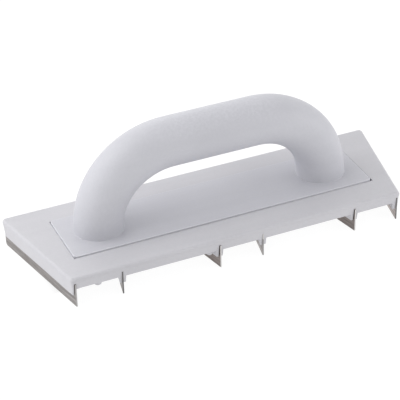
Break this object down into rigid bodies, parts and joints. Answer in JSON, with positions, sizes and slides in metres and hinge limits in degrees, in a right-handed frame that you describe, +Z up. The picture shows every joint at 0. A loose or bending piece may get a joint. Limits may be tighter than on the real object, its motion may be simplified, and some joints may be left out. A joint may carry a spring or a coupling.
{
  "type": "plasterer's blade float",
  "caption": "Hand float for plaster: a flat moulded body with thin steel blades standing in a zigzag beneath it and a closed tubular handle, for scraping set plaster level.",
  "frame": {"origin": "under the middle of the float, at the height of the blades' lower edges", "axes": "+X along the float to its right end, +Y from the shorter front wall to the longer back wall, +Z up"},
  "size_m": [0.3112, 0.1005, 0.1045],
  "materials": {
    "body_plastic": "light cool grey moulded plastic, satin",
    "handle_plastic": "light cool grey moulded plastic, satin, slightly smoother than the body",
    "blade_steel": "dull rolled steel strip, ground along its lower edge",
    "pin_steel": "bright drawn steel",
    "screw_steel": "zinc-plated steel"
  },
  "bodies": {
    "root": {"body": "body_plastic", "handle": "handle_plastic", "blade_1": "blade_steel", "blade_2": "blade_steel", "blade_3": "blade_steel", "blade_4": "blade_steel", "blade_5": "blade_steel", "blade_6": "blade_steel", "blade_pin_1_front": "pin_steel", "blade_pin_1_back": "pin_steel", "blade_pin_2_front": "pin_steel", "blade_pin_2_back": "pin_steel", "blade_pin_3_front": "pin_steel", "blade_pin_3_back": "pin_steel", "blade_pin_4_front": "pin_steel", "blade_pin_4_back": "pin_steel", "blade_pin_5_front": "pin_steel", "blade_pin_5_back": "pin_steel", "blade_pin_6_front": "pin_steel", "blade_pin_6_back": "pin_steel", "handle_screw_1": "screw_steel", "handle_screw_2": "screw_steel", "handle_screw_3": "screw_steel", "handle_screw_4": "screw_steel"}
  },
  "joints": []
}
